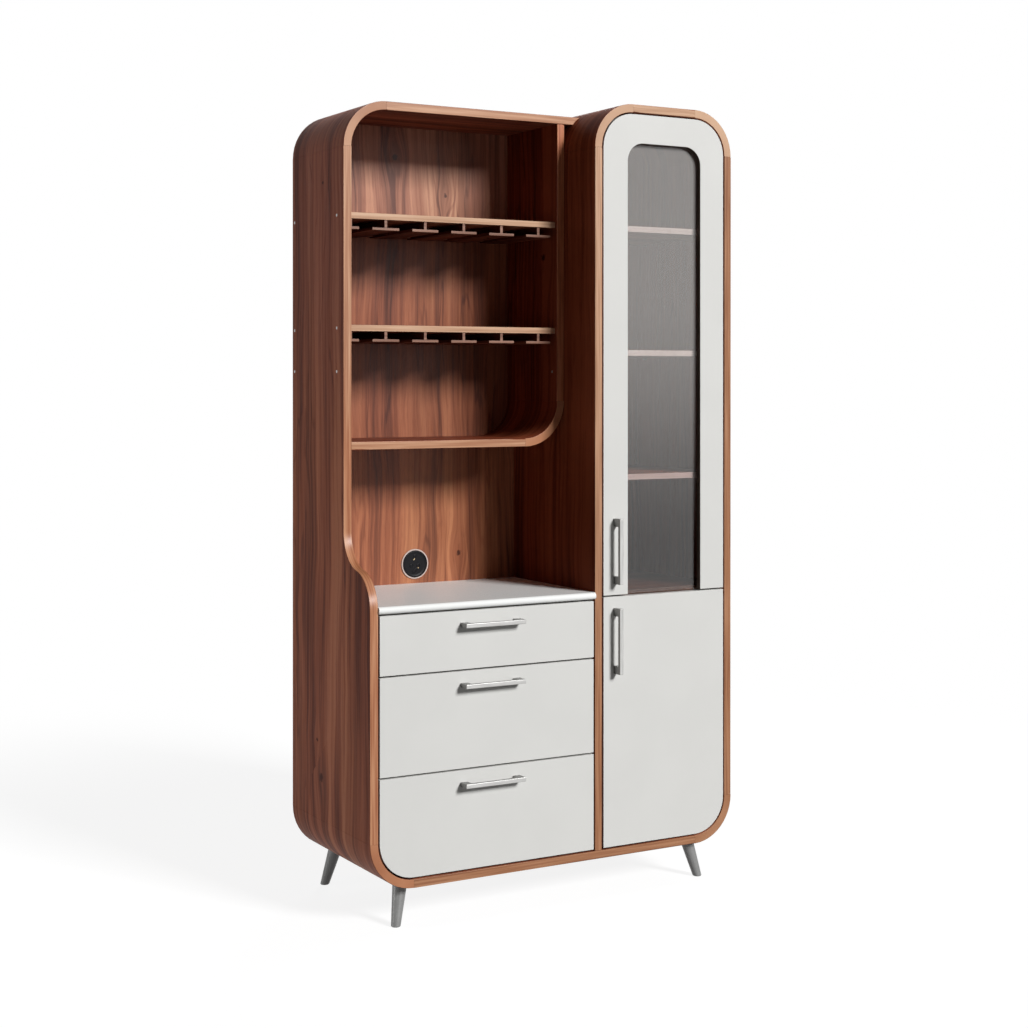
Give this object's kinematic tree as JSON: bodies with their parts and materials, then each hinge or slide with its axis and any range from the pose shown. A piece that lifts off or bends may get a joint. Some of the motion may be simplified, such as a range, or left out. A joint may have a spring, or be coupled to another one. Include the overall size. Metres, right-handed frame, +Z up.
{
  "type": "china cabinet",
  "caption": "Walnut china cabinet with rounded corners: white drawers and worktop under an open stemware hutch, beside a taller tower with a glazed door over a solid door.",
  "frame": {"origin": "on the floor, under the middle of the whole outline with the handles included", "axes": "+Z up, +X to the viewer's right, the front faces -Y"},
  "size_m": [1, 0.47, 1.912],
  "materials": {
    "walnut": "dark reddish walnut veneer, satin, with lighter edge banding",
    "white_lacquer": "white lacquer, semi-gloss",
    "white_worktop": "white laminate, satin",
    "drawer_wood": "pale wood, matt",
    "brushed_metal": "brushed nickel",
    "leg_metal": "grey metal, satin",
    "hardware_steel": "plated steel",
    "smoked_glass": "grey tinted clear glass",
    "black_plastic": "black plastic with a light rim"
  },
  "bodies": {
    "carcass": {"left_side_panel": "walnut", "bottom_left_corner": "walnut", "bottom_panel": "walnut", "bottom_right_corner": "walnut", "right_side_panel": "walnut", "tower_top_right_corner": "walnut", "tower_top_panel": "walnut", "tower_top_left_corner": "walnut", "tower_partition": "walnut", "hutch_top_left_corner": "walnut", "hutch_top_panel": "walnut", "hutch_right_panel": "walnut", "hutch_lower_corner": "walnut", "hutch_floor": "walnut", "back_panel_left": "walnut", "back_panel_tower": "walnut", "worktop": "white_worktop", "hutch_shelf_lower": "walnut", "hutch_shelf_upper": "walnut", "stemware_rack_lower": "walnut", "stemware_rack_upper": "walnut", "tower_divider": "walnut", "tower_shelf_1": "walnut", "tower_shelf_2": "walnut", "tower_shelf_3": "walnut", "drawer_top_runner_left": "hardware_steel", "drawer_top_runner_right": "hardware_steel", "drawer_middle_runner_left": "hardware_steel", "drawer_middle_runner_right": "hardware_steel", "drawer_bottom_runner_left": "hardware_steel", "drawer_bottom_runner_right": "hardware_steel", "upper_hinge_1_arm": "hardware_steel", "upper_hinge_2_arm": "hardware_steel", "upper_hinge_3_arm": "hardware_steel", "lower_hinge_1_arm": "hardware_steel", "lower_hinge_2_arm": "hardware_steel", "leg_front_left": "leg_metal", "leg_front_right": "leg_metal", "leg_back_left": "leg_metal", "leg_back_right": "leg_metal", "power_socket": "black_plastic"},
    "drawer_top": {"drawer_top_front": "white_lacquer", "drawer_top_box": "drawer_wood", "drawer_top_handle": "brushed_metal"},
    "drawer_middle": {"drawer_middle_front": "white_lacquer", "drawer_middle_box": "drawer_wood", "drawer_middle_handle": "brushed_metal"},
    "drawer_bottom": {"drawer_bottom_front": "white_lacquer", "drawer_bottom_box": "drawer_wood", "drawer_bottom_handle": "brushed_metal"},
    "upper_door": {"upper_door_frame": "white_lacquer", "upper_door_glass": "smoked_glass", "upper_door_handle": "brushed_metal", "upper_hinge_1_cup": "hardware_steel", "upper_hinge_2_cup": "hardware_steel", "upper_hinge_3_cup": "hardware_steel"},
    "lower_door": {"lower_door_panel": "white_lacquer", "lower_door_handle": "brushed_metal", "lower_hinge_1_cup": "hardware_steel", "lower_hinge_2_cup": "hardware_steel"}
  },
  "joints": [
    {"name": "drawer_top_slide", "type": "slide", "parent": "carcass", "child": "drawer_top", "axis": [0, -1, 0], "range_m": [0, 0.26]},
    {"name": "drawer_middle_slide", "type": "slide", "parent": "carcass", "child": "drawer_middle", "axis": [0, -1, 0], "range_m": [0, 0.26]},
    {"name": "drawer_bottom_slide", "type": "slide", "parent": "carcass", "child": "drawer_bottom", "axis": [0, -1, 0], "range_m": [0, 0.26]},
    {"name": "upper_door_hinge", "type": "hinge", "parent": "carcass", "child": "upper_door", "pos_m": [0.468, -0.205, 0.722], "axis": [0, 0, 1], "range_deg": [0, 105]},
    {"name": "lower_door_hinge", "type": "hinge", "parent": "carcass", "child": "lower_door", "pos_m": [0.468, -0.205, 0.115], "axis": [0, 0, 1], "range_deg": [0, 105]}
  ]
}
